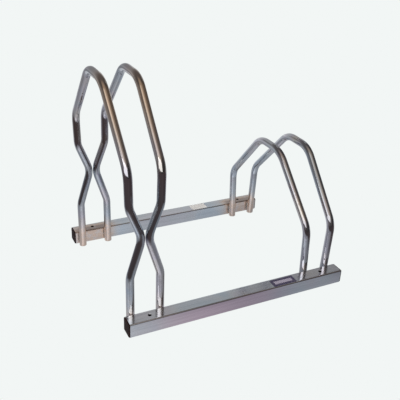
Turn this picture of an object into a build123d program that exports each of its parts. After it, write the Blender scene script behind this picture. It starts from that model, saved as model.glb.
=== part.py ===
from build123d import *
import os
from math import cos, radians, sin, sqrt, tan

# A floor rack that parks two bicycles at two levels, welded from zinc-plated steel tube.
# X runs along the rails, Y from the front rail to the rear one, and Z up from the ground.
# The origin is on the ground in the middle of the rack. Lengths are in millimetres, angles in degrees.

# Rails: two square tubes that lie on the ground, with a screw hole in the middle of each pair of hoops
rail_length = 476.0
rail_side = 30.0
rail_wall = 1.5
rail_inner_corner = 1.2
rail_gap = 335.0  # between the facing sides of the two rails
fixing_hole_diameter = 6.5

# Hoops: round tube, bent cold and welded by its legs to the facing sides of the rails
tube_diameter = 16.0
tube_wall = 1.5
kink_radius = 48.0  # of the bends in the legs, on the tube's centre line
top_radius = 56.0  # of the two bends at the top, on the tube's centre line
top_run = 79.0  # of the level run at the top, between the corners of its two bends
shoulder_slope = 46.9  # of the runs from the shoulders to the top, above the horizontal
pair_inset = 44.0  # from a rail's end to the middle of the pair of hoops there

# High pair: the two hoops draw together at a waist that carries the tyre
high_leg_spacing = 60.0  # up to the kinks above the waist
high_shoulder_height = 317.0
waist_height = 187.0
waist_gap = 1.0  # between the two tubes at their closest
waist_lower_slant = 17.2  # of the runs below the waist, from the vertical
waist_upper_slant = 21.1  # of the runs above the waist, from the vertical
high_lean = 1.1  # of each hoop above the waist's kinks, outwards from the vertical

# Low pair: flat hoops that lean apart, so that the tyre drops in from above
low_leg_spacing = 52.0  # on the ground
low_shoulder_height = 127.0
low_lean = 2.1  # of each hoop, outwards from the vertical

# Welds: two fillets on each leg, in the corners between the tube and the side of the rail
weld_root = 2.0  # from the line where tube and rail touch to the start of the fillet
weld_toe = 8.2  # from the same line to the fillet's far edge on the rail
weld_rise = 3.6  # from the rail to the fillet's far edge on the tube
weld_crown = 0.5  # bulge of the fillet's outer face
weld_inset = 4.0  # from the rail's top and bottom to the ends of the fillet

# End plugs: moulded plastic, with a hollow core and flexible fins that grip the inside of the rail
plug_head_thickness = 3.0
plug_head_margin = 0.4  # by which the head is smaller than the rail, all round
plug_head_round = 1.2
plug_core_inset = 2.0  # from the inside of the rail to the core
plug_core_length = 17.0
plug_core_wall = 2.0
plug_fin_count = 3
plug_fin_thickness = 1.2
plug_fin_clearance = 0.1

tube_radius = tube_diameter / 2
rail_bore = rail_side - 2 * rail_wall
rail_outer_corner = rail_inner_corner + rail_wall
rail_y = (rail_gap + rail_side) / 2
leg_y = rail_gap / 2 - tube_radius
pair_x = rail_length / 2 - pair_inset
top_rise = (leg_y - top_run / 2) * tan(radians(shoulder_slope))


def rail():
    """Square tube about its own axis, with a hole down through both walls under each pair of hoops."""
    outside = RectangleRounded(rail_side, rail_side, rail_outer_corner)
    inside = RectangleRounded(rail_bore, rail_bore, rail_inner_corner)
    tube = extrude(Plane.YZ * (outside - inside), rail_length / 2, both=True)
    for x in (-pair_x, pair_x):
        tube -= Pos(x, 0, 0) * Cylinder(fixing_hole_diameter / 2, rail_side)
    return tube


def end_plug():
    """Plug for the right-hand end of a rail: its head starts at the origin and its fins reach to the left."""
    head_side = rail_side - 2 * plug_head_margin
    core_side = rail_bore - 2 * plug_core_inset
    core_bore = core_side - 2 * plug_core_wall
    fin_side = rail_bore - 2 * plug_fin_clearance
    head = extrude(Plane.YZ * RectangleRounded(head_side, head_side, rail_outer_corner), plug_head_thickness)
    head = fillet(head.faces().sort_by(Axis.X)[-1].edges(), plug_head_round)
    core_section = Rectangle(core_side, core_side) - Rectangle(core_bore, core_bore)
    core = extrude(Plane.YZ * core_section, -plug_core_length)
    fin_section = RectangleRounded(fin_side, fin_side, rail_inner_corner) - Rectangle(core_side, core_side)
    fin = extrude(Plane.YZ * fin_section, -plug_fin_thickness)
    fin_pitch = plug_core_length / plug_fin_count
    fins = [Pos(-fin_pitch * (number + 0.5), 0, 0) * fin for number in range(plug_fin_count)]
    return head + core + fins


def bent_tube(points, radii):
    """Round tube whose centre line runs through the points and turns each corner at its radius."""
    path = FilletPolyline(*points, radius=radii)
    ring = Circle(tube_radius) - Circle(tube_radius - tube_wall)
    return sweep(Plane(origin=path @ 0, z_dir=path % 0) * ring, path=path)


def high_hoop(side):
    """Hoop of the high pair, on its left (side -1) or right (side 1).

    Its legs kink in to the waist and out again, and from there up it leans outwards."""
    leg = high_leg_spacing / 2
    closest = (tube_diameter + waist_gap) / 2
    half_turn = radians(waist_lower_slant + waist_upper_slant) / 2
    tilt = radians(waist_upper_slant - waist_lower_slant) / 2
    corner_distance = kink_radius / cos(half_turn)
    waist_x = closest + kink_radius - corner_distance * cos(tilt)
    waist_z = waist_height - corner_distance * sin(tilt)
    lower_kink = waist_z - (leg - waist_x) / tan(radians(waist_lower_slant))
    upper_kink = waist_z + (leg - waist_x) / tan(radians(waist_upper_slant))
    top_height = high_shoulder_height + top_rise
    shoulder_x, top_x = (
        leg + (height - upper_kink) * tan(radians(high_lean)) for height in (high_shoulder_height, top_height)
    )
    profile = [
        (leg, 0),
        (leg, lower_kink),
        (waist_x, waist_z),
        (leg, upper_kink),
        (shoulder_x, high_shoulder_height),
    ]
    front = [(side * x, -leg_y, z) for x, z in profile]
    top = [(side * top_x, y, top_height) for y in (-top_run / 2, top_run / 2)]
    rear = [(side * x, leg_y, z) for x, z in reversed(profile)]
    leg_radii = [kink_radius] * (len(profile) - 1)
    radii = [*leg_radii, top_radius, top_radius, *leg_radii]
    return Pos(-pair_x, 0, 0) * bent_tube([*front, *top, *rear], radii)


def low_hoop(side):
    """Hoop of the low pair, on its left (side -1) or right (side 1): flat, leaning outwards and cut level below."""
    spare = tube_diameter
    top_height = low_shoulder_height + top_rise
    points = [
        (0, -leg_y, -spare),
        (0, -leg_y, low_shoulder_height),
        (0, -top_run / 2, top_height),
        (0, top_run / 2, top_height),
        (0, leg_y, low_shoulder_height),
        (0, leg_y, -spare),
    ]
    upright = bent_tube(points, [kink_radius, top_radius, top_radius, kink_radius])
    return split(low_leg(side) * upright, bisect_by=Plane.XY, keep=Keep.TOP)


def high_leg(side):
    """Place of a high hoop's plane on the ground."""
    return Pos(-pair_x + side * high_leg_spacing / 2, 0, 0)


def low_leg(side):
    """Place and lean of a low hoop's plane on the ground."""
    return Pos(pair_x + side * low_leg_spacing / 2, 0, 0) * Rot(0, side * low_lean, 0)


def leg_weld():
    """Pair of fillet welds between the rear rail and a leg that stands on the origin."""
    rail_face = tube_radius
    toe = (weld_toe, rail_face)
    root = (weld_root, rail_face)
    edge_y = rail_face - weld_rise
    edge = (sqrt(tube_radius**2 - edge_y**2), edge_y)
    tube_root = (weld_root, sqrt(tube_radius**2 - weld_root**2))
    outline = [
        Line(root, toe),
        SagittaArc(toe, edge, weld_crown),
        RadiusArc(edge, tube_root, -tube_radius),
        Line(tube_root, root),
    ]
    bead = Pos(0, 0, weld_inset) * extrude(make_face(outline), rail_side - 2 * weld_inset)
    return [bead, mirror(bead, about=Plane.YZ)]


parts = {}
for name, y in (("front", -rail_y), ("rear", rail_y)):
    place = Pos(0, y, rail_side / 2)
    parts[f"{name}_rail"] = place * rail()
    parts[f"{name}_right_plug"] = place * Pos(rail_length / 2, 0, 0) * end_plug()
    parts[f"{name}_left_plug"] = place * Pos(-rail_length / 2, 0, 0) * Rot(0, 0, 180) * end_plug()

for level, hoop, leg in (("high", high_hoop, high_leg), ("low", low_hoop, low_leg)):
    for hand, side in (("left", -1), ("right", 1)):
        parts[f"{level}_{hand}_hoop"] = hoop(side)
        rear_weld = [leg(side) * Pos(0, leg_y, 0) * bead for bead in leg_weld()]
        parts[f"{level}_{hand}_rear_weld"] = Compound(rear_weld)
        parts[f"{level}_{hand}_front_weld"] = Compound([mirror(bead, about=Plane.XZ) for bead in rear_weld])

os.makedirs("parts", exist_ok=True)
for name, part in parts.items():
    export_step(part, f"parts/{name}.step")
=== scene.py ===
import bpy
import numpy as np
from mathutils import Matrix, Vector


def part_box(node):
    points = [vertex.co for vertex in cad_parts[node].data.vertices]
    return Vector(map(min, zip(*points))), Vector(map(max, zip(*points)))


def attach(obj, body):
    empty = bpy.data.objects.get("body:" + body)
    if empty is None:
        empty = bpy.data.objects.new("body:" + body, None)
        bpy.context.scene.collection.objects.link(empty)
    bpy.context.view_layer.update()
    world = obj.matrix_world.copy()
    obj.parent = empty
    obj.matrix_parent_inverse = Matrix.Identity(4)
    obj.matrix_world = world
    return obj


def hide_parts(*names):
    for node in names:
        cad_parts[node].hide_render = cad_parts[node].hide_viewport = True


# A floor rack that parks two bicycles at two levels, welded from steel tube and plated bright with zinc.
# X runs along the rails, Y from the front rail to the rear one, and Z up from the ground.
# Lengths are in metres.
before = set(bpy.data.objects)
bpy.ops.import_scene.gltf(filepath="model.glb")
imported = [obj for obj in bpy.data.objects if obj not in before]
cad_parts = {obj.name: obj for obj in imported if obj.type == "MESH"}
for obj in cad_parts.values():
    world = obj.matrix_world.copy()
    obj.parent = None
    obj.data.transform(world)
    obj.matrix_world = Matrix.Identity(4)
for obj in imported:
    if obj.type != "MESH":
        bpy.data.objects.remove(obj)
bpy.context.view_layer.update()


# Rails: two lengths of cold-rolled square steel tube that lie on the ground, sawn square at the ends.
# Each is drilled through for a floor screw in the middle of each pair of hoops. The whole weldment is plated
# afterwards: the zinc clouds where the welds were hot, and hardly reaches the holes and the inside.
rail_wall = 0.0015
rail_corner = 0.0027  # outside radius
rail_corner_steps = 8
rail_support = 0.0005  # width of the strips that keep the flats flat beside a rounded edge
rail_cell = 0.012  # length of the mesh's cells between the holes
rail_end_cells = 3  # from the square of mesh round a hole to the strip at the rail's end
hole_radius = 0.00325
hole_lip = 0.0005  # chamfer of the drilled edge
hole_field = 0.0085  # half of the square of mesh that is drawn in round a hole
hole_cells = 6  # from the middle of that square to the hole's edge
field_cells = 10  # from the middle of that square to its own edge
sharp_angle = np.radians(38)  # past which an edge of a mesh isn't smoothed
top_side, bottom_side = 1, 3  # of the four sides that a square ring goes through, from +Y over the top
edge_rows = 2  # of the mesh on a side, before the square round a hole
lookup_slack = 1e-6  # metres, by which a search starts short of a station

heat_reach, heat_edge = 0.034, 0.030  # of the welds' heat along a rail, from the middle of a pair
side_heat = 0.7  # of a rail's sides, against its top
outer_heat = 0.4  # of the side away from the welds, against the side that carries them
outer_start = -0.3  # where the heat starts to fall across a rail, in half widths outwards from its middle
heat_steps = ((0.2, (0.78, 0.74, 0.69)), (0.7, (0.87, 0.71, 0.60)), (1.0, (0.51, 0.43, 0.39)))
heat_dulling = 0.12  # roughness that the heat adds
heat_mottle = (0.8, 1.7)  # by which the ripple varies the heat's colour
ripple_scale = 140.0  # ripples of the plating in a metre
ripple_height = 0.2  # of the ripple, against the drawing marks
rinse_middle, rinse_reach = -0.04, 0.14  # of the pink that the rinse left along the front rail
rinse_pink = (0.88, 0.72, 0.83)
# Painted shade: the bare steel inside the rails and in their holes is painted near black, darker than bare
# steel.
shaded_bare_steel = (0.03, 0.028, 0.028)
rail_skin = (
    (0.34, (0.73, 0.83, 0.92)),
    (0.46, (0.81, 0.86, 0.91)),
    (0.56, (0.83, 0.84, 0.91)),
    (0.68, (0.87, 0.85, 0.82)),
)

rail_low, rail_high = np.array(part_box("front_rail"))
rail_half = (rail_high[2] - rail_low[2]) / 2
rail_end = rail_high[0]
# From the rack's middle to the middle of a pair of hoops
pair_x = -(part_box("high_left_hoop")[0][0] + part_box("high_right_hoop")[1][0]) / 2
hole_lines = np.arange(-field_cells, field_cells + 1) / field_cells * hole_field


def grid_faces(rows, columns, wrap_rows=False, wrap_columns=False):
    """Quads of a grid of points that are numbered row by row.
    A wrapped direction joins its last line to its first."""
    row = np.arange(rows if wrap_rows else rows - 1)[:, None]
    column = np.arange(columns if wrap_columns else columns - 1)[None, :]
    next_row, next_column = (row + 1) % rows, (column + 1) % columns
    corners = ((row, column), (next_row, column), (next_row, next_column), (row, next_column))
    return np.stack([r * columns + c for r, c in corners], axis=-1)


def stitch(ring, offset):
    """Quads between a closed ring of point numbers and the ring whose numbers are higher by the offset."""
    after = np.roll(ring, -1)
    return np.column_stack([ring, ring + offset, after + offset, after])


def surface(name, points, quads, caps=(), uv=None, **marks):
    """Smooth mesh object from points (n, 3), quads (m, 4) and whole rings to cap.
    Points in no face are left out, and edges past the sharp angle stay sharp.
    uv is (m, 4, 2), and each mark is one number a point."""
    faces = quads.reshape(-1, 4)
    used = np.unique(np.concatenate([faces.ravel(), *caps]))
    place = np.zeros(len(points), int)
    place[used] = np.arange(len(used))
    polygons = place[faces].tolist() + [place[cap].tolist() for cap in caps]
    mesh = bpy.data.meshes.new(name)
    mesh.from_pydata(points[used].tolist(), [], polygons)
    mesh.shade_smooth()
    mesh.set_sharp_from_angle(angle=sharp_angle)
    if uv is not None:
        layer = mesh.uv_layers.new(name="around_along")
        layer.uv.foreach_set("vector", uv.astype(np.float32).ravel())
    for mark, values in marks.items():
        layer = mesh.attributes.new(mark, "FLOAT", "POINT")
        layer.data.foreach_set("value", values[used].astype(np.float32))
    piece = bpy.data.objects.new(name, mesh)
    bpy.context.scene.collection.objects.link(piece)
    return piece


def square_ring(rows, steps):
    """Unit square round which a profile is carried, starting on the side that its first axis points at.
    Gives core points, with rows from -1 to 1 on each side, and outward normals, which fan out in steps at the
    corners. A ring of half width h and corner r is (h - r) * core + r * normal."""
    fan = np.linspace(0, np.pi / 2, steps + 1)[1:-1]
    core = np.column_stack([np.ones(len(rows) + len(fan)), np.concatenate([rows, np.ones(len(fan))])])
    angle = np.concatenate([np.zeros(len(rows)), fan])
    normal = np.column_stack([np.cos(angle), np.sin(angle)])
    turns = [np.array([[np.cos(a), np.sin(a)], [-np.sin(a), np.cos(a)]]) for a in np.arange(4) * np.pi / 2]
    return np.concatenate([core @ turn for turn in turns]), np.concatenate([normal @ turn for turn in turns])


def drilled_field():
    """Square of cells drawn in to a hole: the ring of cells at the hole's edge becomes a circle, the
    outermost ring stays a square, and the rings between blend from one to the other. Gives the places along
    and across, and the drop of the chamfer, for each crossing of the square's lines."""
    along, across = np.meshgrid(*[np.arange(-field_cells, field_cells + 1)] * 2)
    ring = np.maximum(np.maximum(abs(along), abs(across)), 1)
    steep = abs(across) > abs(along)
    slope = np.where(steep, along, across) / np.where(steep, across, np.where(along == 0, 1, along))
    quarter = np.where(steep, np.pi / 2 * np.sign(across), np.where(along < 0, np.pi, 0))
    angle = quarter + np.where(steep, -1, 1) * slope * np.pi / 4
    chamfer = np.clip(ring - hole_cells, 0, 1)
    radius = hole_radius + hole_lip * chamfer
    blend = np.clip((ring - hole_cells - 1) / (field_cells - hole_cells - 1), 0, 1)
    square = hole_field / ring
    x = (1 - blend) * radius * np.cos(angle) + blend * along * square
    y = (1 - blend) * radius * np.sin(angle) + blend * across * square
    return x, y, hole_lip * (1 - chamfer)


def fade(values, full, none):
    """Smooth fall from 1 where the values are at the full mark to 0 where they are at the other."""
    share = np.clip((values - none) / (full - none), 0, 1)
    return share * share * (3 - 2 * share)


def rail_stations():
    """Places of the mesh's rings along a rail: close together at the holes, with a strip at each end."""
    gap = pair_x - hole_field
    between = np.linspace(-gap, gap, round(2 * gap / rail_cell) + 1)[1:-1]
    beyond = np.linspace(pair_x + hole_field, rail_end - rail_support, rail_end_cells + 1)[1:]
    left = [[-rail_end], -beyond[::-1], hole_lines - pair_x]
    right = [hole_lines + pair_x, beyond, [rail_end]]
    return np.concatenate([*left, between, *right])


def hole_squares(stations, side_rows):
    """The square of lines round each hole of a rail: its first row and column, the hole's x, and 1 on the
    top side or -1 on the bottom one."""
    for side, up in ((top_side, 1), (bottom_side, -1)):
        for x in (-pair_x, pair_x):
            column = np.searchsorted(stations, x - hole_field - lookup_slack)
            yield side * side_rows + edge_rows, column, x, up


def rail_shell(stations, core, normal, squares, corner, chamfered):
    """Points of a rail's outside or inside: the rounded square with that corner at each station. The lines
    round the holes are drawn in to circles, and where the shell is chamfered they drop at the hole's edge."""
    shell = np.empty((len(core), len(stations), 3))
    shell[..., 0] = stations
    shell[..., 1:] = ((rail_half - rail_corner) * core + corner * normal)[:, None]
    along, across, drop = drilled_field()
    for row, column, x, up in squares:
        block = shell[row:row + len(hole_lines), column:column + len(hole_lines)]
        block[..., 0] = x + along
        block[..., 1] = -up * across
        if chamfered:
            block[..., 2] -= up * drop
    return shell.reshape(-1, 3)


def build_rail(name, welding_heat, rinse_tint):
    """Square tube: a rounded square carried along X, outside and inside, joined by rings at the ends and by
    the walls of the drilled holes. Its marks are the welds' heat, the rinse's tint, and the bare steel of
    the inside and the holes, which is painted near black as their shade too."""
    flat = rail_half - rail_corner
    edge = flat - rail_support
    rows = np.concatenate([[-flat, -edge], hole_lines, [edge, flat]])
    core, normal = square_ring(rows / flat, rail_corner_steps)
    stations = rail_stations()
    squares = list(hole_squares(stations, len(core) // 4))
    outside = rail_shell(stations, core, normal, squares, rail_corner, chamfered=True)
    inside = rail_shell(stations, core, normal, squares, rail_corner - rail_wall, chamfered=False)
    middle = np.mean(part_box(name), axis=0)
    points = np.concatenate([outside, inside]) + [0, middle[1], middle[2]]

    count = len(outside)
    numbers = np.arange(count).reshape(len(core), len(stations))
    cells = grid_faces(len(core), len(stations), wrap_rows=True)
    kept = np.ones(cells.shape[:2], bool)
    climb, level = np.arange(-hole_cells, hole_cells), np.full(2 * hole_cells, hole_cells)
    ring_x = np.concatenate([climb, level, -climb, -level])
    ring_y = np.roll(ring_x, 2 * hole_cells)
    near, far = field_cells - hole_cells, field_cells + hole_cells
    bores = []
    for row, column, _, _ in squares:
        kept[row + near:row + far, column + near:column + far] = False
        bores.append(stitch(numbers[row + field_cells + ring_y, column + field_cells + ring_x], count))
    rims = [stitch(numbers[:, 0], count), stitch(numbers[::-1, -1], count)]
    quads = np.concatenate([cells[kept], cells[kept][:, ::-1] + count, *bores, *rims])

    x, y, z = points.T
    below_top = fade(z, 2 * rail_half - rail_corner, 2 * rail_half)
    outward = fade((abs(y) - abs(middle[1])) / rail_half, 1.0, outer_start)
    scorch = welding_heat * fade(abs(abs(x) - pair_x), heat_reach, heat_reach + heat_edge)
    scorch *= (1 - (1 - side_heat) * below_top) * (1 - (1 - outer_heat) * outward)
    rinse = rinse_tint * below_top * np.exp(-((x - rinse_middle) / rinse_reach) ** 4)
    bare = np.zeros(len(points))
    bare[count:] = 1
    bare[np.concatenate(bores)] = 1

    piece = surface(name + "_tube", points, quads, scorch=scorch, rinse=rinse, bare=bare)
    piece.data.materials.append(rail_zinc)
    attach(piece, "root")
    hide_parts(name)


def new_material(name):
    """Material, with its node tree and the shader in it."""
    material = bpy.data.materials.new(name)
    material.use_nodes = True
    return material, material.node_tree, material.node_tree.nodes["Principled BSDF"]


def add_node(tree, kind, *feeds, **values):
    """Adds a shader node. Feeds go to its inputs in order; a named value goes to the input of that name, or
    to the setting of that name where it starts with a small letter. A socket is linked, and anything else
    is set."""
    node = tree.nodes.new("ShaderNode" + kind)
    for key, value in values.items():
        if key[0].islower():
            setattr(node, key, value)
    inputs = list(zip(node.inputs, feeds))
    inputs += [(node.inputs[key], value) for key, value in values.items() if key[0].isupper()]
    for socket, value in inputs:
        if isinstance(value, bpy.types.NodeSocket):
            tree.links.new(value, socket)
        else:
            socket.default_value = value
    return node


def mix_colour(tree, share, first, second, blend="MIX"):
    """Colour that goes from the first to the second as the share goes from 0 to 1, or that has a share of
    the second added to the first where the blend is ADD."""
    node = add_node(tree, "Mix", share, data_type="RGBA", blend_type=blend)
    colours = [socket for socket in node.inputs if socket.type == "RGBA"]
    for socket, value in zip(colours, (first, second)):
        if isinstance(value, bpy.types.NodeSocket):
            tree.links.new(value, socket)
        else:
            socket.default_value = (*value, 1)
    return next(socket for socket in node.outputs if socket.type == "RGBA")


def colour_steps(tree, share, steps):
    """Colour ramp through (place, colour) steps."""
    node = add_node(tree, "ValToRGB", share)
    ramp = node.color_ramp
    while len(ramp.elements) < len(steps):
        ramp.elements.new(0.5)
    for element, (place, colour) in zip(ramp.elements, steps):
        element.position = place
        element.color = (*colour, 1)
    return node.outputs[0]


def noise_field(tree, place, scale, detail, roughness, distortion=0.0):
    """Soft random number at each place, with that many features in a unit."""
    shape = {"Scale": scale, "Detail": detail, "Roughness": roughness, "Distortion": distortion}
    return add_node(tree, "TexNoise", place, **shape).outputs[0]


def spread(tree, field, first, last, low=0.3, high=0.7):
    """Number that goes from the first to the last as a field goes from low to high. Most of a noise lies
    between 0.3 and 0.7."""
    return add_node(tree, "MapRange", field, low, high, first, last).outputs[0]


def point_mark(tree, name):
    """The mark of that name on the mesh's points, which is 0 on a piece without it."""
    return add_node(tree, "Attribute", attribute_name=name).outputs["Fac"]


def zinc_plate(name, skin_steps, rinse_colour, lines, line_stretch, mark_stretch, mark_depth, streaks, gloss,
               cloud_size):
    """Bright zinc over drawn steel: clouds of blue, grey, lilac and straw in the passivated skin, the colour
    that the rinse left on the front rail, a painted warm reflection in straw on the high hoops, straw and
    brown where the welds were hot, and bare steel where the plating doesn't reach, painted near black as
    shade as well. Fine drawing lines vary the gloss along the piece. Broader drawing marks streak its colour
    and, with a light ripple of plating, its mirror. lines names the coordinates that both follow, and gloss
    is the range of the roughness."""
    material, tree, shader = new_material(name)
    place = add_node(tree, "TexCoord").outputs
    stretched = add_node(tree, "Mapping", place[lines], Scale=line_stretch).outputs[0]
    marked = add_node(tree, "Mapping", place[lines], Scale=mark_stretch).outputs[0]
    drawn = noise_field(tree, stretched, scale=1.0, detail=3.0, roughness=0.6)
    marks = noise_field(tree, marked, scale=1.0, detail=1.0, roughness=0.5)
    ripple = noise_field(tree, place["Object"], ripple_scale, detail=2.0, roughness=0.5)
    cloud = noise_field(tree, place["Object"], 1 / cloud_size, detail=3.0, roughness=0.55, distortion=0.6)
    heat = point_mark(tree, "scorch")

    # The rinse's colour on the front rail; on the high hoops this mark carries a painted warm reflection.
    skin = mix_colour(tree, point_mark(tree, "rinse"), colour_steps(tree, cloud, skin_steps), rinse_colour)
    mottle = spread(tree, ripple, *heat_mottle, low=0.35, high=0.65)
    burnt = add_node(tree, "Math", heat, mottle, operation="MULTIPLY", use_clamp=True).outputs[0]
    skin = mix_colour(tree, burnt, skin, colour_steps(tree, heat, heat_steps))
    streak = spread(tree, marks, *streaks)
    skin = add_node(tree, "VectorMath", skin, operation="SCALE", Scale=streak).outputs[0]
    # Bare steel inside the rails and in their holes, painted near black as their shade too.
    skin = mix_colour(tree, point_mark(tree, "bare"), skin, shaded_bare_steel)
    tree.links.new(skin, shader.inputs["Base Color"])
    shader.inputs["Metallic"].default_value = 1

    shine = spread(tree, drawn, *gloss)
    dulled = add_node(tree, "Math", heat, heat_dulling, shine, operation="MULTIPLY_ADD").outputs[0]
    tree.links.new(dulled, shader.inputs["Roughness"])
    relief = add_node(tree, "Math", ripple, ripple_height, marks, operation="MULTIPLY_ADD").outputs[0]
    bump = add_node(tree, "Bump", Strength=1.0, Distance=mark_depth, Height=relief).outputs[0]
    tree.links.new(bump, shader.inputs["Normal"])
    return material


rail_zinc = zinc_plate(
    "rail_zinc",
    skin_steps=rail_skin,
    rinse_colour=rinse_pink,
    lines="Object",
    line_stretch=(9, 700, 700),
    mark_stretch=(6, 260, 260),
    mark_depth=0.00012,
    streaks=(0.94, 1.06),
    gloss=(0.13, 0.21),
    cloud_size=0.11,
)
build_rail("front_rail", welding_heat=0.12, rinse_tint=1.0)
build_rail("rear_rail", welding_heat=1.0, rinse_tint=0.0)


# Plugs: black polyethylene mouldings, pushed into the rail ends until the head meets the sawn edge.
# The head is slightly domed with a rounded rim; behind it a hollow core carries three thin fins
# that grip the inside of the rail.
plug_head = 0.003
plug_dome = 0.0005
plug_rim = 0.0012
plug_margin = 0.0004  # by which the head is smaller than the rail, all round
plug_core_half = 0.0115
plug_core_wall = 0.002
plug_core_corner = 0.0005
plug_core_length = 0.017
plug_fin_half = 0.0134
plug_fin_corner = 0.0012
plug_fin_thickness = 0.0012
plug_fins = 3
plug_rows = 9  # of the mesh, on each side
plug_face_rings = 9
plug_face_cap = 0.06  # share of the head's face that is one flat cap
plug_rim_steps = 6
plug_floor_cap = 1 / 8  # share of the hollow's floor that is one flat cap

plug_black = ((0.35, (0.016, 0.008, 0.008)), (0.6, (0.030, 0.016, 0.016)), (0.75, (0.06, 0.04, 0.04)))
plug_gloss = (0.55, 0.75)  # range of the roughness
plug_shine = 0.15  # strength of its mirror, against that of common plastic at 0.5
plug_grain = 0.0002  # depth of the spark texture


def plug_profile():
    """Rings of a plug from the middle of its head to the middle of its hollow, each (x, half width, corner
    radius). The dome falls with the square of the distance from its middle, and the rim is a quarter
    circle."""
    half = rail_half - plug_margin
    flat = half - plug_rim
    face = np.linspace(plug_face_cap, 1, plug_face_rings)[:, None] * flat
    dome = plug_head - plug_dome * (face / flat) ** 2
    crown = np.column_stack([dome, face, face * (rail_corner - plug_rim) / flat])
    turn = np.linspace(0, np.pi / 2, plug_rim_steps + 1)[1:, None]
    fall = plug_rim * (1 - np.cos(turn))
    inset = plug_rim * (1 - np.sin(turn))
    rim = np.column_stack([plug_head - plug_dome - fall, half - inset, rail_corner - inset])
    core = (plug_core_half, plug_core_corner)
    fin = (plug_fin_half, plug_fin_corner)
    pitch = plug_core_length / plug_fins
    rest = [(0, half, rail_corner), (0, *core)]
    for number in range(plug_fins):
        near = -pitch * (number + 0.5)
        far = near - plug_fin_thickness
        rest += [(near, *core), (near, *fin), (far, *fin), (far, *core)]
    hollow = plug_core_half - plug_core_wall
    rest += [(-plug_core_length, *core), (-plug_core_length, hollow, plug_core_corner)]
    rest += [(0, hollow, plug_core_corner), (0, hollow * plug_floor_cap, plug_core_corner)]
    return np.concatenate([crown, rim, rest])


def build_plug(node, rail, end):
    """A square lathe: each ring of the profile is a rounded square round the rail's axis. end is 1 on the
    right and -1 on the left, where the plug is turned half round the vertical."""
    middle = np.mean(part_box(rail), axis=0)
    core, normal = square_ring(np.linspace(-1, 1, plug_rows), rail_corner_steps)
    x, half, corner = plug_profile().T
    ring = core[:, None] * (half - corner)[None, :, None] + normal[:, None] * corner[None, :, None]
    points = np.empty((len(core), len(x), 3))
    points[..., 0] = end * (rail_end + x)
    points[..., 1] = end * ring[..., 0]
    points[..., 2] = ring[..., 1]
    points += [0, middle[1], middle[2]]
    numbers = np.arange(points[..., 0].size).reshape(len(core), len(x))
    faces = grid_faces(len(core), len(x), wrap_rows=True)[..., ::-1]
    caps = (numbers[:, 0], numbers[::-1, -1])
    piece = surface(node + "_moulding", points.reshape(-1, 3), faces, caps=caps)
    piece.data.materials.append(plug_plastic)
    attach(piece, "root")
    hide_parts(node)


def moulded_plastic(name):
    """Near-black polyethylene: a dull skin with a fine spark texture, paler where it has been rubbed."""
    material, tree, shader = new_material(name)
    place = add_node(tree, "TexCoord").outputs["Object"]
    spark = noise_field(tree, place, scale=900.0, detail=2.0, roughness=0.6)
    rub = noise_field(tree, place, scale=90.0, detail=4.0, roughness=0.65)
    tree.links.new(colour_steps(tree, rub, plug_black), shader.inputs["Base Color"])
    tree.links.new(spread(tree, rub, *plug_gloss), shader.inputs["Roughness"])
    shader.inputs["Specular IOR Level"].default_value = plug_shine
    bump = add_node(tree, "Bump", Strength=0.25, Distance=plug_grain, Height=spark).outputs[0]
    tree.links.new(bump, shader.inputs["Normal"])
    return material


plug_plastic = moulded_plastic("plug_plastic")
for rail_name in ("front", "rear"):
    for hand, end in (("left", -1), ("right", 1)):
        build_plug(f"{rail_name}_{hand}_plug", f"{rail_name}_rail", end)


# Hoops: four lengths of welded round steel tube, bent cold over a former and plated with the rails.
# The high pair is kinked in to a waist on both legs, so that the tyre rests in the narrow place; the low pair
# is flat and leans apart. The bends flatten the tube a little, and the drawing lines run with it.
tube_radius = 0.008
tube_wall = 0.0015
tube_sides = 56
tube_rim = 0.0004  # rounding of the sawn ends
rim_middle = 0.3  # share of that rounding by which its middle ring stands in from both faces
bend_radius = 0.048
bend_oval = 0.022  # share of the radius by which a bend flattens the tube
top_radius = 0.056
top_run = 0.079  # of the level run at the top, between the corners of its two bends
shoulder_slope = np.radians(46.9)
run_step, run_least = 0.011, 2  # length of the mesh's cells on a straight run, and the fewest of them
turn_step, turn_least = np.radians(2.4), 4  # the same in a bend
leg_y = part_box("high_left_hoop")[1][1] - tube_radius
top_rise = (leg_y - top_run / 2) * np.tan(shoulder_slope)

high_leg = 0.030  # from the middle of the high pair to the middle of a leg, on the ground
leg_bends = 4  # in each leg of a high hoop, up to its shoulder
high_shoulder = 0.317
high_lean = np.radians(1.1)  # above the waist's kinks
waist_gap = 0.001
waist_height = 0.187
lower_slant = np.radians(17.2)
upper_slant = np.radians(21.1)
low_leg = 0.026  # from the middle of the low pair to the middle of a leg, on the ground
low_shoulder = 0.127
low_lean = np.radians(2.1)

foot_heat, foot_heat_edge = 0.028, 0.05  # height of the welds' heat on the legs
rear_heat = 0.78  # of the rear legs, against a rail's top
high_front_heat, low_front_heat = 0.42, 0.12  # the same of the front legs
# Painted reflection: a straw colour on the upper front of the high hoops stands in for the warm ceiling that
# they mirror there.
reflection_full_height, reflection_start_height = 0.42, 0.32  # where the painted warm reflection is full on the high hoops, and where it starts
reflection_fade_y, reflection_end_y = -0.06, 0.04  # across the rack, where it starts to fade and where it ends
rinse_straw = (0.75, 0.645, 0.545)
hoop_skin = (
    (0.34, (0.54, 0.61, 0.69)),
    (0.46, (0.60, 0.635, 0.67)),
    (0.56, (0.62, 0.61, 0.67)),
    (0.68, (0.64, 0.62, 0.59)),
)


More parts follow.
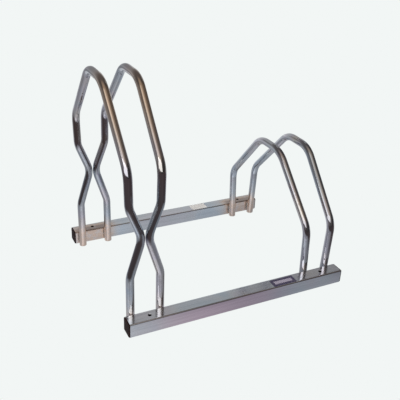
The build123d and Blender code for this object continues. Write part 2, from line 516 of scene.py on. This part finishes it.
def bent_line(corners, radii):
    """Centre line of a bent tube: straight runs between the corners, each corner turned on an arc of its
    radius. Gives its points, unit directions, the unit vectors towards the inside of the bends, and how far
    into a bend each point is, from 0 on a run to 1 in the middle of an arc."""
    corners = np.array(corners, float)
    runs = np.diff(corners, axis=0)
    ways = runs / np.linalg.norm(runs, axis=1)[:, None]
    points, directions, insides, depths = [], [], [], []
    start = corners[0]
    for number, way in enumerate(ways):
        last = number == len(ways) - 1
        stop, inside = corners[-1], np.zeros(3)
        if not last:
            turn = np.arccos(np.clip(way @ ways[number + 1], -1, 1))
            stop = corners[number + 1] - way * radii[number] * np.tan(turn / 2)
            inside = ways[number + 1] - way * np.cos(turn)
            inside = inside / np.linalg.norm(inside)
        steps = max(run_least, round(np.linalg.norm(stop - start) / run_step))
        share = np.linspace(0, 1, steps + 1)[:, None]
        points.append(start + share * (stop - start))
        directions.append(np.tile(way, (steps + 1, 1)))
        insides.append(np.tile(inside, (steps + 1, 1)))
        depths.append(np.zeros(steps + 1))
        if not last:
            arc_steps = max(turn_least, round(turn / turn_step))
            angle = np.linspace(0, turn, arc_steps + 1)[1:-1, None]
            centre = stop + radii[number] * inside
            points.append(centre + radii[number] * (np.sin(angle) * way - np.cos(angle) * inside))
            directions.append(np.cos(angle) * way + np.sin(angle) * inside)
            insides.append(np.cos(angle) * inside - np.sin(angle) * way)
            depths.append(np.sin(np.pi * angle[:, 0] / turn) ** 0.5)
            start = centre + radii[number] * (np.sin(turn) * way - np.cos(turn) * inside)
    return [np.concatenate(part) for part in (points, directions, insides, depths)]


def wall_rings(stations):
    """Rings of a tube's wall: out along the outside, over the rounded foot, back along the inside and over
    the other foot. Gives for each ring its station on the centre line, its shift along that line, and its
    radius."""
    inner_radius = tube_radius - tube_wall
    rounding = tube_rim * np.array([0, rim_middle, 1])
    rim_shift = np.concatenate([rounding[::-1], rounding])
    rim_radius = np.concatenate([tube_radius - rounding, inner_radius + rounding[::-1]])
    outside = np.arange(1, stations - 1)
    none = np.zeros(len(outside))
    first, last = np.zeros(len(rim_shift), int), np.full(len(rim_shift), stations - 1)
    order = np.concatenate([outside, last, outside[::-1], first])
    shift = np.concatenate([none, -rim_shift, none, rim_shift[::-1]])
    radius = np.concatenate([none + tube_radius, rim_radius, none + inner_radius, rim_radius[::-1]])
    return order, shift, radius


def build_hoop(node, corners, radii, lean=0.0, foot_x=0.0):
    """Tube wall round a bent line. A ring's radius is r * (1 - oval * depth * cos(2 * angle from the bend's
    inside)). A leaning hoop is built upright, and each point then goes to x + z * sin(lean) and
    z * cos(lean), which keeps its feet level. The UV map is the way round the tube and the way along it,
    in metres."""
    points, directions, insides, depths = bent_line(corners, radii)
    order, shift, radius = wall_rings(len(points))
    way = directions[order]
    centre = points[order] + way * shift[:, None]
    across = np.array([1.0, 0, 0]) - way * way[:, :1]
    across /= np.linalg.norm(across, axis=1)[:, None]
    upward = np.cross(way, across)
    angle = np.linspace(0, 2 * np.pi, tube_sides, endpoint=False)[:, None, None]
    spoke = np.cos(angle) * across + np.sin(angle) * upward
    towards = np.einsum("ijk,jk->ij", spoke, insides[order])
    oval = 1 - bend_oval * depths[order] * (2 * towards ** 2 - 1)
    tube = centre + spoke * (radius * oval)[..., None]
    tube[..., 0] += foot_x
    tube[..., 0] += tube[..., 2] * np.sin(lean)
    tube[..., 2] *= np.cos(lean)
    faces = grid_faces(tube_sides, len(order), wrap_rows=True, wrap_columns=True)

    run = np.concatenate([[0], np.cumsum(np.linalg.norm(np.diff(points, axis=0), axis=1))])
    along = run[order] + shift
    next_along = np.roll(along, -1)
    round_tube = np.arange(tube_sides + 1) / tube_sides * 2 * np.pi * tube_radius
    here, there = round_tube[:-1], round_tube[1:]
    corner_u = np.stack([here, there, there, here], -1)[:, None]
    corner_v = np.stack([along, along, next_along, next_along], -1)[None]
    uv = np.stack(np.broadcast_arrays(corner_u, corner_v), -1)

    points = tube.reshape(-1, 3)
    x, y, z = points.T
    leg_heat = np.where(y > 0, rear_heat, np.where(x < 0, high_front_heat, low_front_heat))
    scorch = fade(z, foot_heat, foot_heat + foot_heat_edge) * leg_heat
    # Painted reflection: straw where the high hoops' upper front mirrors the warm ceiling.
    rinse = fade(z, reflection_full_height, reflection_start_height) * fade(y, reflection_fade_y, reflection_end_y)
    piece = surface(node + "_tube", points, faces, uv=uv, scorch=scorch, rinse=rinse)
    piece.data.materials.append(hoop_zinc)
    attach(piece, "root")
    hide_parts(node)


def high_corners(side):
    """Corners of a high hoop's centre line: up the front leg, in to the waist and out, over the top and down
    again. The waist's corner lies past the arc that is drawn in it, so that the arc leaves half of the
    waist's gap."""
    half_turn, tilt = (lower_slant + upper_slant) / 2, (upper_slant - lower_slant) / 2
    stand_off = bend_radius / np.cos(half_turn)
    waist_x = tube_radius + waist_gap / 2 + bend_radius - stand_off * np.cos(tilt)
    waist_z = waist_height - stand_off * np.sin(tilt)
    lower_kink = waist_z - (high_leg - waist_x) / np.tan(lower_slant)
    upper_kink = waist_z + (high_leg - waist_x) / np.tan(upper_slant)
    top = high_shoulder + top_rise
    shoulder_x, top_x = high_leg + (np.array([high_shoulder, top]) - upper_kink) * np.tan(high_lean)
    leg = [
        (high_leg, 0),
        (high_leg, lower_kink),
        (waist_x, waist_z),
        (high_leg, upper_kink),
        (shoulder_x, high_shoulder),
    ]
    front = [(side * x - pair_x, -leg_y, z) for x, z in leg]
    level = [(side * top_x - pair_x, y, top) for y in (-top_run / 2, top_run / 2)]
    rear = [(side * x - pair_x, leg_y, z) for x, z in reversed(leg)]
    return [*front, *level, *rear]


hoop_zinc = zinc_plate(
    "hoop_zinc",
    skin_steps=hoop_skin,
    rinse_colour=rinse_straw,
    lines="UV",
    line_stretch=(900, 7, 1),
    mark_stretch=(290, 4, 1),
    mark_depth=0.0005,
    streaks=(0.78, 1.14),
    gloss=(0.02, 0.06),
    cloud_size=0.09,
)
low_front = [(0, -leg_y, 0), (0, -leg_y, low_shoulder), (0, -top_run / 2, low_shoulder + top_rise)]
low_corners = [*low_front, *[(x, -y, z) for x, y, z in reversed(low_front)]]
low_radii = [bend_radius, top_radius, top_radius, bend_radius]
leg_radii = [bend_radius] * leg_bends
high_radii = [*leg_radii, top_radius, top_radius, *leg_radii]
for hand, side in (("left", -1), ("right", 1)):
    build_hoop(f"high_{hand}_hoop", high_corners(side), high_radii)
    foot_x = pair_x + side * low_leg
    build_hoop(f"low_{hand}_hoop", low_corners, low_radii, lean=side * low_lean, foot_x=foot_x)


# Welds: two short fillet beads on each leg, run upwards by hand in the corners between tube and rail.
# Each freezes in overlapping crescents, and the plating dulls over it.
weld_root = 0.0016  # from the line where tube and rail touch to the bead's buried edge
weld_toe = 0.0082  # from the same line to the bead's far edge on the rail
weld_rise = 0.0036  # from the rail to the bead's far edge on the tube
weld_sink = 0.0002  # by which the bead's edges lie inside the rail and the tube
weld_crown = 0.0009
weld_inset = 0.004  # from the rail's top and bottom to the ends of the bead
weld_pitch = 0.0017  # from one crescent to the next
weld_lag = 0.5  # of a crescent's edges behind its middle, as a share of the pitch
weld_ripple = 0.3  # depth of a crescent, as a share of the crown
weld_end = 0.03  # share of its size that a bead keeps at its very ends
weld_stations = 90
weld_width = 14

weld_stain = ((0.35, (0.40, 0.38, 0.36)), (0.55, (0.55, 0.53, 0.50)), (0.7, (0.50, 0.43, 0.35)))
weld_gloss = (0.3, 0.48)  # range of the roughness
weld_crust = 0.0002


def build_weld(node, x, facing, lean):
    """Two ripple beads: a bulged profile from the rail to the tube, carried up the corner. The bulge is
    crown * 4c(1 - c) * (1 + ripple * saw), where the saw's phase lags at the edges, which bends it to
    crescents. Everything shrinks towards the root at the ends as the square root of 1 - (2s - 1)^8."""
    share = np.linspace(0, 1, weld_stations)[None, :]
    width = np.linspace(0, 1, weld_width)[:, None]
    low, high = weld_inset, 2 * rail_half - weld_inset
    edge_y = tube_radius - weld_rise
    toe = np.array([weld_toe, tube_radius + weld_sink])
    edge = np.array([np.sqrt(tube_radius ** 2 - edge_y ** 2) - weld_sink, edge_y])
    root = np.array([weld_root, tube_radius + weld_sink])
    tube_root = np.array([weld_root, np.sqrt(tube_radius ** 2 - weld_root ** 2) - 2 * weld_sink])
    chord = edge - toe
    bulge_way = np.array([-chord[1], chord[0]]) / np.linalg.norm(chord)
    bulge_way *= np.sign(bulge_way[0])
    phase = share * (high - low) / weld_pitch + weld_lag * (2 * width - 1) ** 2
    saw = 1 - 2 * (phase % 1)
    bulge = weld_crown * 4 * width * (1 - width) * (1 + weld_ripple * saw)
    face = toe + width[..., None] * chord + bulge[..., None] * bulge_way
    hidden = np.broadcast_to(np.array([tube_root, root])[:, None], (2, weld_stations, 2))
    taper = (1 - (2 * share[0] - 1) ** 8).clip(weld_end ** 2) ** 0.5
    profile = root + (np.concatenate([face, hidden]) - root) * taper[None, :, None]

    z = np.broadcast_to(low + share * (high - low), profile.shape[:2])
    y = facing * (leg_y + profile[..., 1])
    points, faces, caps = [], [], []
    for hand in (1, -1):
        points.append(np.stack([x + hand * profile[..., 0] + z * np.sin(lean), y, z], -1).reshape(-1, 3))
        offset = len(faces) * z.size
        turned = hand * facing < 0
        quads = grid_faces(*z.shape, wrap_rows=True) + offset
        numbers = np.arange(z.size).reshape(z.shape) + offset
        faces.append((quads if turned else quads[..., ::-1]).reshape(-1, 4))
        caps += [numbers[::-1 if turned else 1, 0], numbers[::1 if turned else -1, -1]]
    piece = surface(node + "_beads", np.concatenate(points), np.concatenate(faces), caps=caps)
    piece.data.materials.append(weld_zinc)
    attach(piece, "root")
    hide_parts(node)


def weld_plate(name):
    """Zinc over a weld bead: greyer and duller than on the tube, with patches of straw and a fine crust."""
    material, tree, shader = new_material(name)
    place = add_node(tree, "TexCoord").outputs["Object"]
    crust = noise_field(tree, place, scale=1100.0, detail=3.0, roughness=0.6)
    stain = noise_field(tree, place, scale=160.0, detail=3.0, roughness=0.6)
    tree.links.new(colour_steps(tree, stain, weld_stain), shader.inputs["Base Color"])
    shader.inputs["Metallic"].default_value = 1
    tree.links.new(spread(tree, crust, *weld_gloss), shader.inputs["Roughness"])
    bump = add_node(tree, "Bump", Strength=0.3, Distance=weld_crust, Height=crust).outputs[0]
    tree.links.new(bump, shader.inputs["Normal"])
    return material


weld_zinc = weld_plate("weld_zinc")
for rail_name, facing in (("front", -1), ("rear", 1)):
    for hand, side in (("left", -1), ("right", 1)):
        build_weld(f"high_{hand}_{rail_name}_weld", side * high_leg - pair_x, facing, lean=0.0)
        build_weld(f"low_{hand}_{rail_name}_weld", side * low_leg + pair_x, facing, lean=side * low_lean)


# Labels: two printed vinyl stickers on top of the rails, left blank here. The front one is a dark panel with
# a pale field, the rear one is white; each is pressed flat on the zinc with its corners rounded.
label_thickness = 0.00015
label_edge = 0.3  # rounding of the top edge, as a share of the thickness
label_corner = 0.0015
label_corner_steps = 6
label_rows = 7  # of the mesh, on each side
label_rings = (0.001, 0.004, 0.0095)  # of the mesh on the flat top, in from the edge
rail_y = -(rail_low[1] + rail_high[1]) / 2  # from the rack's middle to the middle of a rail
front_place, front_size = (0.1007, -rail_y - 0.001), (0.0546, 0.0226)
rear_place, rear_size = (0.081, rail_y), (0.0395, 0.0235)

print_blur = 0.0002  # half width of the soft edge of the print
smear_grey = (0.5, 0.5, 0.52)
smear_most = 0.12  # share of that grey in the handling marks
vinyl_gloss = (0.25, 0.42)  # range of the roughness


def build_label(name, place, size, material):
    """Thin plate: a rounded square ring stretched to its length and depth, carried from the underside over a
    rounded edge to the middle of the top. Each ring has a height and an inset from the outline."""
    core, normal = square_ring(np.linspace(-1, 1, label_rows), label_corner_steps)
    height = label_thickness * np.array([0, 1 - label_edge, 1, *np.ones(len(label_rings))])
    inset = np.array([0, 0, label_edge * label_thickness, *label_rings])[:, None, None]
    corner = np.maximum(label_corner - inset, 0)
    ring = core * (np.array(size) / 2 - inset - corner) + normal * corner + place
    level = np.broadcast_to(height[:, None, None], (*ring.shape[:2], 1)) + 2 * rail_half
    points = np.concatenate([ring, level], -1)
    numbers = np.arange(level.size).reshape(ring.shape[:2])
    faces = grid_faces(*ring.shape[:2], wrap_columns=True)[..., ::-1]
    piece = surface(name, points.reshape(-1, 3), faces, caps=(numbers[0][::-1], numbers[-1]))
    piece.data.materials.append(material)
    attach(piece, "root")


def label_vinyl(name, place, size, border, border_width, field):
    """Printed vinyl: a field inside a border, whose edge is the larger of the distances along and across the
    label, with faint handling marks in the colour and the gloss."""
    material, tree, shader = new_material(name)
    spot = add_node(tree, "TexCoord").outputs["Object"]
    shifted = add_node(tree, "Mapping", spot, Location=(-place[0], -place[1], 0)).outputs[0]
    beyond = []
    for axis, length in zip(add_node(tree, "SeparateXYZ", shifted).outputs, size):
        away = add_node(tree, "Math", axis, operation="ABSOLUTE").outputs[0]
        limit = length / 2 - border_width
        beyond.append(add_node(tree, "Math", away, limit, operation="SUBTRACT").outputs[0])
    outside = add_node(tree, "Math", *beyond, operation="MAXIMUM").outputs[0]
    on_border = spread(tree, outside, 0.0, 1.0, low=-print_blur, high=print_blur)
    smear = noise_field(tree, spot, scale=160.0, detail=4.0, roughness=0.6)
    smeared = spread(tree, smear, 0.0, smear_most, low=0.4, high=0.75)
    colour = mix_colour(tree, smeared, mix_colour(tree, on_border, field, border), smear_grey)
    tree.links.new(colour, shader.inputs["Base Color"])
    tree.links.new(spread(tree, smear, *vinyl_gloss), shader.inputs["Roughness"])
    return material


front_vinyl = label_vinyl(
    "front_vinyl",
    front_place,
    front_size,
    border=(0.045, 0.036, 0.085),
    border_width=0.0065,
    field=(0.36, 0.33, 0.42),
)
rear_vinyl = label_vinyl(
    "rear_vinyl",
    rear_place,
    rear_size,
    border=(0.86, 0.86, 0.84),
    border_width=0.0025,
    field=(0.82, 0.82, 0.80),
)
build_label("front_label", front_place, front_size, front_vinyl)
build_label("rear_label", rear_place, rear_size, rear_vinyl)


# Floor, studio and lights: the rack stands on a glossy pale sheet in a studio. The camera sees only one
# even pale ground; what the zinc mirrors is the sheet, the dark floor beyond it, grey walls, a warm ceiling,
# a soft window in front on the left and four pale cards behind.
pale = (0.888, 0.921, 0.913)
paper_white = (0.8, 0.82, 0.81)  # of the floor, where it scatters light back on the rack
floor_half = 6.0
floor_drop = 0.0002  # under the rack, so that no two faces lie in one plane
sheet_turn = np.radians(24)  # about the vertical, against the rails
sheet_left, sheet_right, sheet_front = -0.52, 0.36, -0.44
sheet_fade = 0.09
sheet_sheen = (0.29, 0.30, 0.33)  # how much of the studio its gloss gives back
floor_sheen = (0.03, 0.03, 0.03)  # the same of the bare floor
sheen_roughness = 0.2
sheet_light = (0.24, 0.252, 0.275)
sheet_back = (0.34, 0.348, 0.368)
back_reach = (-0.03, 0.13)  # across the rack, where the sheet turns from one to the other
floor_dark = (0.070, 0.053, 0.054)
floor_far = (0.27, 0.27, 0.285)
far_reach = (-0.20, 0.32)  # across the sheet, where the bare floor turns from one to the other

# Painted pools of the window's light on the sheet, in front on the left, between the low hoops and by the
# rear rail: the middle, the reach where each is full and where it ends, and the light
left_pool = ((-0.23, -0.11), (0.06, 0.30), (0.145, 0.135, 0.132))
low_pool = ((0.19, 0.0), (0.05, 0.17), (0.20, 0.205, 0.205))
rear_pool = ((-0.20, 0.10), (0.04, 0.16), (0.11, 0.10, 0.098))

# Walls of the studio: where each starts and is full sideways, and where it starts to fade and ends upwards,
# as parts of a unit heading, which never reaches those past 1, and the light
studio_dark = (0.044, 0.040, 0.041)
back_wall = ((0.37, 0.91), (0.0, 0.95), (0.31, 0.305, 0.315))
left_wall = ((-0.33, -1.40), (0.15, 1.20), (0.282, 0.262, 0.263))

# Soft discs on the studio's walls and ceiling: azimuth from the rear towards the right, elevation, radius
# where each is full and radius where it ends, in degrees, and the light
ceiling = ((-155, 62, 12, 48), (0.34, 0.265, 0.205))
rear_ceiling = ((0, 60, 20, 50), (0.075, 0.064, 0.062))
warm_side = ((108, 48, 8, 23), (0.082, 0.058, 0.038))
front_glow = ((-170, 37, 9, 42), (0.15, 0.14, 0.13))
bright_corner = ((-126, 48, 5, 22), (0.50, 0.48, 0.46))
right_side = ((93, 22, 9, 28), (0.05, 0.044, 0.040))


def soft_step(tree, value, low, high, first=0.0, last=1.0):
    """Smooth step from the first number at the low value to the last at the high one."""
    limits = (low, high, first, last)
    return add_node(tree, "MapRange", value, *limits, interpolation_type="SMOOTHSTEP").outputs[0]


def build_floor():
    """Flat square under the rack, one cell on a grid of two lines each way. The camera sees it as pale
    ground, mirrored rays see a painted glow of the lit sheet or the bare floor round it with their gloss,
    and other light falls on paper."""
    axis = np.array([-floor_half, floor_half])
    x, y = np.meshgrid(axis, axis)
    points = np.stack([x, y, np.full_like(x, -floor_drop)], -1).reshape(-1, 3)
    floor = surface("floor", points, grid_faces(2, 2)[..., ::-1])
    material, tree, shader = new_material("floor_sheet")
    tree.nodes.remove(shader)
    place = add_node(tree, "TexCoord").outputs["Object"]
    turned = add_node(tree, "Mapping", place, Rotation=(0, 0, sheet_turn)).outputs[0]
    along_sheet, across_sheet, _ = add_node(tree, "SeparateXYZ", turned).outputs
    along_rack, across_rack, _ = add_node(tree, "SeparateXYZ", place).outputs
    on_sheet = soft_step(tree, across_sheet, sheet_front - sheet_fade, sheet_front + sheet_fade)
    sides = ((along_rack, sheet_left, sheet_fade), (along_sheet, sheet_right, -sheet_fade))
    for along, edge, inward in sides:
        beside = soft_step(tree, along, edge - inward, edge + inward)
        on_sheet = add_node(tree, "Math", on_sheet, beside, operation="MULTIPLY").outputs[0]
    sheet = mix_colour(tree, soft_step(tree, across_rack, *back_reach), sheet_light, sheet_back)
    for middle, reach, light in (left_pool, low_pool, rear_pool):
        away = add_node(tree, "VectorMath", place, (*middle, 0), operation="DISTANCE").outputs["Value"]
        sheet = mix_colour(tree, soft_step(tree, away, *reach, 1.0, 0.0), sheet, light, blend="ADD")
    bare = mix_colour(tree, soft_step(tree, across_sheet, *far_reach), floor_dark, floor_far)
    # Painted light: for mirrored rays the sheet glows with its pools, and the bare floor round it glows dark.
    glow = add_node(tree, "Emission", mix_colour(tree, on_sheet, bare, sheet), 1.0).outputs[0]
    sheen_colour = mix_colour(tree, on_sheet, floor_sheen, sheet_sheen)
    sheen = add_node(tree, "BsdfGlossy", sheen_colour, sheen_roughness).outputs[0]
    mirrored = add_node(tree, "AddShader", glow, sheen).outputs[0]
    paper = add_node(tree, "BsdfDiffuse", (*paper_white, 1)).outputs[0]
    ground = add_node(tree, "Emission", (*pale, 1), 1.0).outputs[0]
    path = add_node(tree, "LightPath").outputs
    lit = add_node(tree, "MixShader", path["Is Glossy Ray"], paper, mirrored).outputs[0]
    shown = add_node(tree, "MixShader", path["Is Camera Ray"], lit, ground).outputs[0]
    tree.links.new(shown, tree.nodes["Material Output"].inputs["Surface"])
    floor.data.materials.append(material)


def heading(azimuth, elevation):
    """Unit vector at an azimuth from the rear towards the right, and an elevation, in degrees."""
    azimuth, elevation = np.radians([azimuth, elevation])
    return (np.sin(azimuth) * np.cos(elevation), np.cos(azimuth) * np.cos(elevation), np.sin(elevation))


def soft_disc(tree, way, azimuth, elevation, full, end):
    """Share that falls from 1 within the full angle of a heading to 0 at the end angle, in degrees."""
    middle = heading(azimuth, elevation)
    cosine = add_node(tree, "VectorMath", way, middle, operation="DOT_PRODUCT").outputs["Value"]
    angle = add_node(tree, "Math", cosine, operation="ARCCOSINE").outputs[0]
    return soft_step(tree, angle, np.radians(full), np.radians(end), 1.0, 0.0)


def build_studio():
    """World: pale to the camera. To all other rays it is the sum of the dark, two walls that fade upwards
    and six soft discs, each by the share that the ray's heading gives it."""
    world = bpy.data.worlds.new("studio")
    bpy.context.scene.world = world
    world.use_nodes = True
    tree = world.node_tree
    way = add_node(tree, "TexCoord").outputs["Generated"]
    to_right, to_rear, upwards = add_node(tree, "SeparateXYZ", way).outputs
    light = studio_dark
    for sideways, (spans, fades, colour) in ((to_rear, back_wall), (to_right, left_wall)):
        faced = soft_step(tree, sideways, *spans)
        height = soft_step(tree, upwards, *fades, 1.0, 0.0)
        share = add_node(tree, "Math", faced, height, operation="MULTIPLY").outputs[0]
        light = mix_colour(tree, share, light, colour, blend="ADD")
    for disc, colour in (ceiling, rear_ceiling, warm_side, front_glow, bright_corner, right_side):
        light = mix_colour(tree, soft_disc(tree, way, *disc), light, colour, blend="ADD")
    camera_ray = add_node(tree, "LightPath").outputs["Is Camera Ray"]
    tree.links.new(mix_colour(tree, camera_ray, light, pale), tree.nodes["Background"].inputs["Color"])


def add_window(name, place, aim, size, radiance, colour=(1.0, 1.0, 1.0), mirrored=True):
    """Area light of the power radiance * pi * area, turned to its aim. The camera doesn't see it, and the
    zinc does only if it is mirrored."""
    light = bpy.data.lights.new(name, "AREA")
    light.shape = "RECTANGLE"
    light.size, light.size_y = size
    light.energy = radiance * np.pi * size[0] * size[1]
    light.color = colour
    lamp = bpy.data.objects.new(name, light)
    bpy.context.scene.collection.objects.link(lamp)
    lamp.location = place
    lamp.rotation_euler = (Vector(aim) - Vector(place)).to_track_quat("-Z", "Y").to_euler()
    lamp.visible_camera = False
    lamp.visible_glossy = mirrored


def add_card(name, place, size, radiance, colour):
    """Pale card behind the rack that faces straight to the front."""
    add_window(name, place, (place[0], 0, place[2]), size, radiance, colour)


build_floor()
build_studio()
add_window("window", (-0.45, -0.60, 0.60), aim=(0, 0, 0.51), size=(0.95, 0.48), radiance=1.10)
add_card("back_card", (0.22, 0.50, 0.48), size=(0.46, 0.44), radiance=0.20, colour=(0.97, 1.0, 1.0))
add_card("side_card", (0.70, 0.50, 0.48), size=(0.50, 0.44), radiance=0.13, colour=(0.95, 1.0, 1.0))
add_card("low_card", (0.05, 0.42, 0.18), size=(0.80, 0.22), radiance=0.20, colour=(0.97, 1.0, 1.0))
add_card("high_card", (0.80, 0.50, 0.98), size=(0.56, 0.34), radiance=0.22, colour=(0.95, 1.0, 1.0))
add_window("fill", (-0.6, -0.9, 2.2), aim=(0, 0, 0.1), size=(1.2, 1.2), radiance=7.6, mirrored=False)

view = bpy.context.scene.view_settings
view.view_transform = "Standard"
view.look = "None"


# Camera: a little left of the front, looking down on the rack, with the picture tilted by a few degrees.
# Its place, lens and roll were fitted to the photograph together with the sizes of the rack.
camera_place = Vector((-0.54075, -1.05562, 0.74910))
camera_aim = Vector((-0.006672, 0.0, 0.150857))
camera_roll = np.radians(2.485)
camera_lens, camera_sensor = 55.673, 36  # millimetres

camera_data = bpy.data.cameras.new("camera")
camera_data.lens = camera_lens
camera_data.sensor_width = camera_sensor
camera_data.clip_start, camera_data.clip_end = 0.01, 50
camera = bpy.data.objects.new("camera", camera_data)
bpy.context.scene.collection.objects.link(camera)
turned = (camera_aim - camera_place).to_track_quat("-Z", "Y").to_matrix().to_4x4()
camera.matrix_world = Matrix.Translation(camera_place) @ turned @ Matrix.Rotation(camera_roll, 4, "Z")
bpy.context.scene.camera = camera
